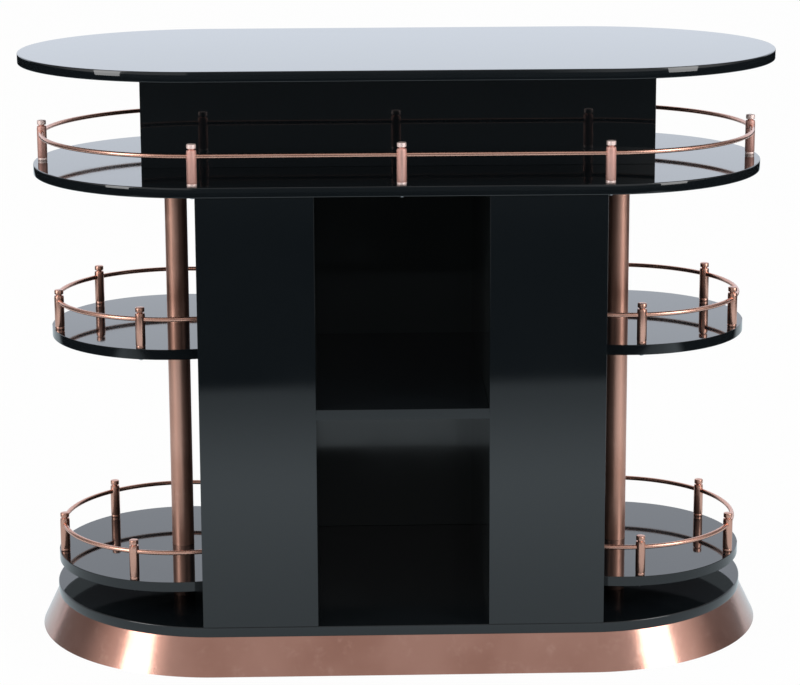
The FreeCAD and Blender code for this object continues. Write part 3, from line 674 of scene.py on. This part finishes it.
camera_data = bpy.data.cameras.new("camera")
camera = bpy.data.objects.new("camera", camera_data)
bpy.context.scene.collection.objects.link(camera)
bpy.context.scene.camera = camera
forward = Vector((math.sin(YAW) * math.cos(PITCH), math.cos(YAW) * math.cos(PITCH), math.sin(PITCH)))
level = Vector((math.cos(YAW), -math.sin(YAW), 0.0))
upright = level.cross(forward)
right = math.cos(ROLL) * level + math.sin(ROLL) * upright
up = -math.sin(ROLL) * level + math.cos(ROLL) * upright
turn = Matrix((right, up, -forward)).transposed()
camera.matrix_world = Matrix.Translation(CAMERA_PLACE) @ turn.to_4x4()
camera_data.sensor_fit = "HORIZONTAL"
camera_data.sensor_width = SENSOR
camera_data.lens = FOCAL_LENGTH / FRAME_WIDTH * SENSOR
camera_data.shift_y = SHIFT
camera_data.clip_end = 100.0

bpy.context.scene.view_settings.view_transform = "Standard"


# ----------------------------------------------------------------------------------------- floor
# A sweep of white paper lies under the counter and takes its shadow. The lacquer and the copper
# mirror it as far as it reaches: a little over two metres to the front, slightly askew, and as far
# to the sides. In their mirrors its glow is darkened close in front of the counter as painted shade.

WHITE = (1.0, 1.0, 1.0, 1.0)
FLOOR_REACH = 30.0
SHADOW_SHARE = 0.045

paper = Finish("paper", base_color=(0.9, 0.9, 0.9, 1.0), roughness=1.0, specular_ior_level=0.0)
ray = paper.node("ShaderNodeLightPath", output="Is Camera Ray")
mirror = paper.node("ShaderNodeLightPath", output="Is Glossy Ray")
along = paper.node("ShaderNodeSeparateXYZ", None, {0: paper.place}, "X")
depth = paper.node("ShaderNodeSeparateXYZ", None, {0: paper.place}, "Y")
front = depth + along * 0.07
lit = paper.between(front, -2.35, -2.205) * 0.43 + paper.between(front, -2.42, -1.35) * 0.57
lit = lit * (1.0 - paper.between(abs(along), 2.15, 2.45))
# Painted shade: near the counter the mirrored glow falls to 0.72, standing in for the counter's shade on the
# paper.
lit = lit * paper.between(depth, -1.5, -0.4, 1.0, 0.72) + paper.between(depth, -4.0, -6.0, 0.0, 0.06)
glow = paper.blend(lit, (0.006, 0.007, 0.008), (0.90, 1.03, 1.10))
seen = paper.node("ShaderNodeEmission", None, {"Color": WHITE, "Strength": 1.0})
mirrored = paper.node("ShaderNodeEmission", None, {"Color": glow, "Strength": 1.0})
plain = Signal(paper, paper.shader.outputs[0])
look = paper.node("ShaderNodeMixShader", None, {0: ray * (1.0 - SHADOW_SHARE), 1: plain, 2: seen})
look = paper.node("ShaderNodeMixShader", None, {0: mirror, 1: look, 2: mirrored})
paper.tree.links.new(look.socket, paper.tree.nodes["Material Output"].inputs["Surface"])

sheet = bpy.data.meshes.new("floor")
corners = [(FLOOR_REACH * x, FLOOR_REACH * y, 0.0) for x, y in ((-1, -1), (1, -1), (1, 1), (-1, 1))]
sheet.from_pydata(corners, [], [(0, 1, 2, 3)])
sheet.materials.append(paper.material)
floor = bpy.data.objects.new("floor", sheet)
bpy.context.scene.collection.objects.link(floor)


# ---------------------------------------------------------------------------------------- studio
# Behind the counter the studio is white. The lamps light the room beside them, the front is half
# as bright, and the far end of the room is dark near the floor. Two tall softboxes at the sides
# light the counter.

world = bpy.data.worlds.new("studio")
bpy.context.scene.world = world
world.use_nodes = True
world.node_tree.nodes.clear()
room = Net(world.node_tree)
way = room.node("ShaderNodeTexCoord", output="Generated")
across = room.node("ShaderNodeSeparateXYZ", None, {0: way}, "X")
away = room.node("ShaderNodeSeparateXYZ", None, {0: way}, "Y")
rise = room.node("ShaderNodeSeparateXYZ", None, {0: way}, "Z")
dim = room.blend(room.between(away, -0.42, 0.20), (1.0, 1.0, 1.0), (0.205, 0.205, 0.21))
dim = room.blend(room.between(away, -0.72, -0.66), (0.55, 0.56, 0.57), dim)
far_end = room.blend(room.between(rise, 0.24, 0.40), (0.10, 0.11, 0.12), dim)
dim = room.blend(room.between(abs(across), 0.09, 0.14), far_end, dim)
bright = room.blend(room.between(rise, 0.12, 0.31), (1.07, 1.15, 1.275), (0.86, 0.92, 1.02))
surround = room.blend(room.between(away, 0.62, 0.655), dim, bright)
surround = room.blend(room.between(rise, 0.5, 0.9), surround, (0.6, 0.6, 0.6))
camera_ray = room.node("ShaderNodeLightPath", output="Is Camera Ray")
glossy_ray = room.node("ShaderNodeLightPath", output="Is Glossy Ray")
soft = room.node("ShaderNodeBackground", None, {"Color": (0.8, 0.8, 0.8, 1.0), "Strength": 1.0})
studio = room.node("ShaderNodeBackground", None, {"Color": surround, "Strength": 1.0})
white = room.node("ShaderNodeBackground", None, {"Color": WHITE, "Strength": 1.0})
mixed = room.node("ShaderNodeMixShader", None, {0: glossy_ray, 1: soft, 2: studio})
mixed = room.node("ShaderNodeMixShader", None, {0: camera_ray, 1: mixed, 2: white})
room.node("ShaderNodeOutputWorld", None, {"Surface": mixed})


def softbox(name, azimuth, elevation, distance, width, height, watts):
    """A rectangular soft light; azimuth 0 is straight in front, positive to the right."""
    data = bpy.data.lights.new(name, "AREA")
    data.shape = "RECTANGLE"
    data.size, data.size_y, data.energy = width, height, watts
    lamp = bpy.data.objects.new(name, data)
    bpy.context.scene.collection.objects.link(lamp)
    a, e = math.radians(azimuth), math.radians(elevation)
    place = distance * Vector((math.sin(a) * math.cos(e), -math.cos(a) * math.cos(e), math.sin(e)))
    lamp.matrix_world = Matrix.Translation(place) @ (-place).to_track_quat("-Z", "Y").to_matrix().to_4x4()


softbox("softbox_left", azimuth=-57.5, elevation=26.0, distance=4.0, width=1.12, height=2.6, watts=44.0)
softbox("softbox_right", azimuth=53.2, elevation=26.0, distance=4.0, width=1.28, height=2.6, watts=50.0)
